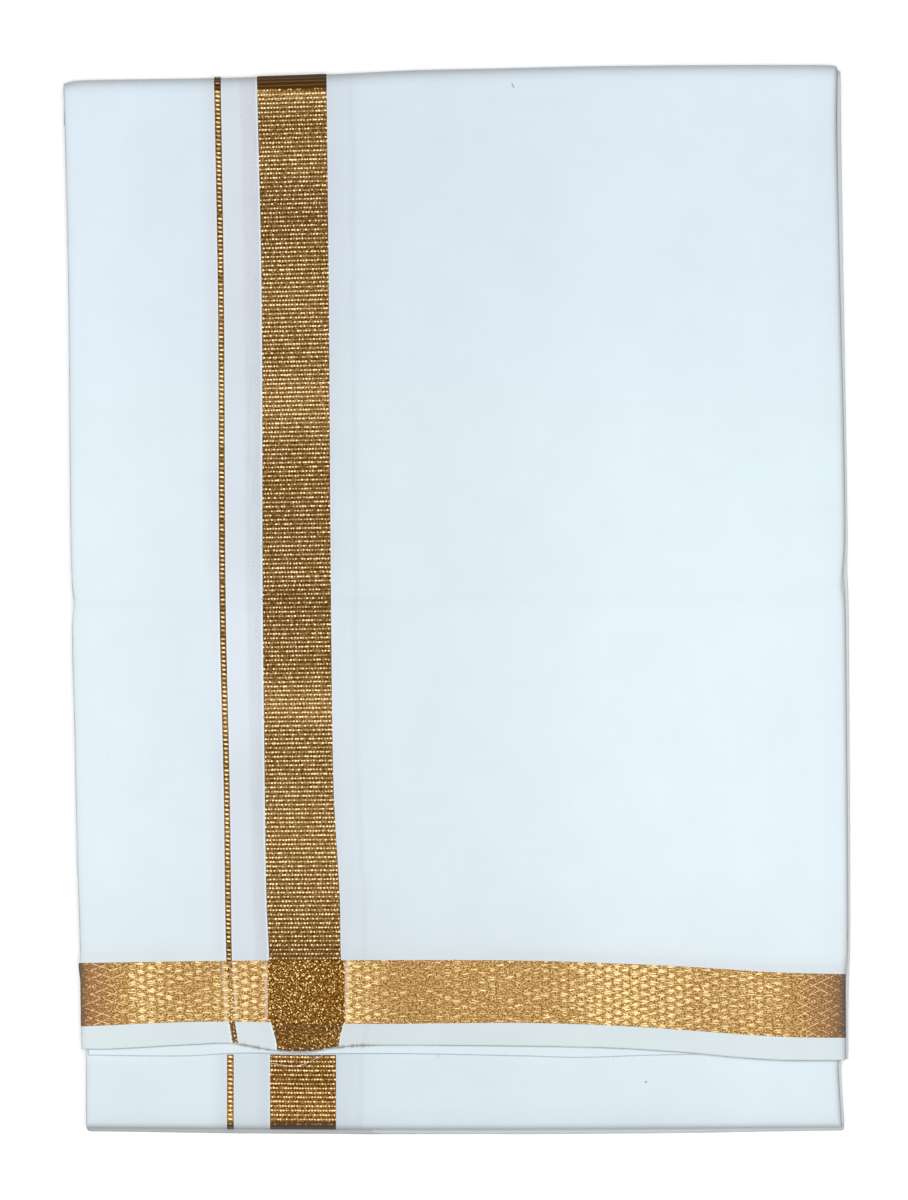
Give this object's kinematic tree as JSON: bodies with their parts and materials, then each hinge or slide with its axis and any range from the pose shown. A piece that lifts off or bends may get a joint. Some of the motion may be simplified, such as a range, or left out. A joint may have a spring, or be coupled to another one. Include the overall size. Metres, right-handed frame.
{
  "type": "folded dhoti cloth",
  "caption": "White cotton dhoti with a ribbed gold border and a gold end band, folded flat into an oblong parcel that rests on its back.",
  "frame": {"origin": "on the surface the parcel lies on, under the middle of its box", "axes": "+X across the parcel to the right of its front, +Y up the front to the top fold, +Z out of the front"},
  "size_m": [0.3304, 0.4493, 0.0142],
  "materials": {
    "cotton": "fine plain-woven white cotton, pressed, matt",
    "zari": "woven gold metal thread, sparkling, satin"
  },
  "bodies": {
    "root": {"front_ply": "cotton", "flap_under_ply": "cotton", "lower_ply": "cotton", "folded_layers": "cotton", "main_border": "zari", "main_border_end": "zari", "end_band_left": "zari", "end_band_right": "zari", "border_crossing": "zari", "thin_line": "zari", "thin_line_end": "zari", "lower_border": "zari", "lower_thin_line": "zari"}
  },
  "joints": []
}
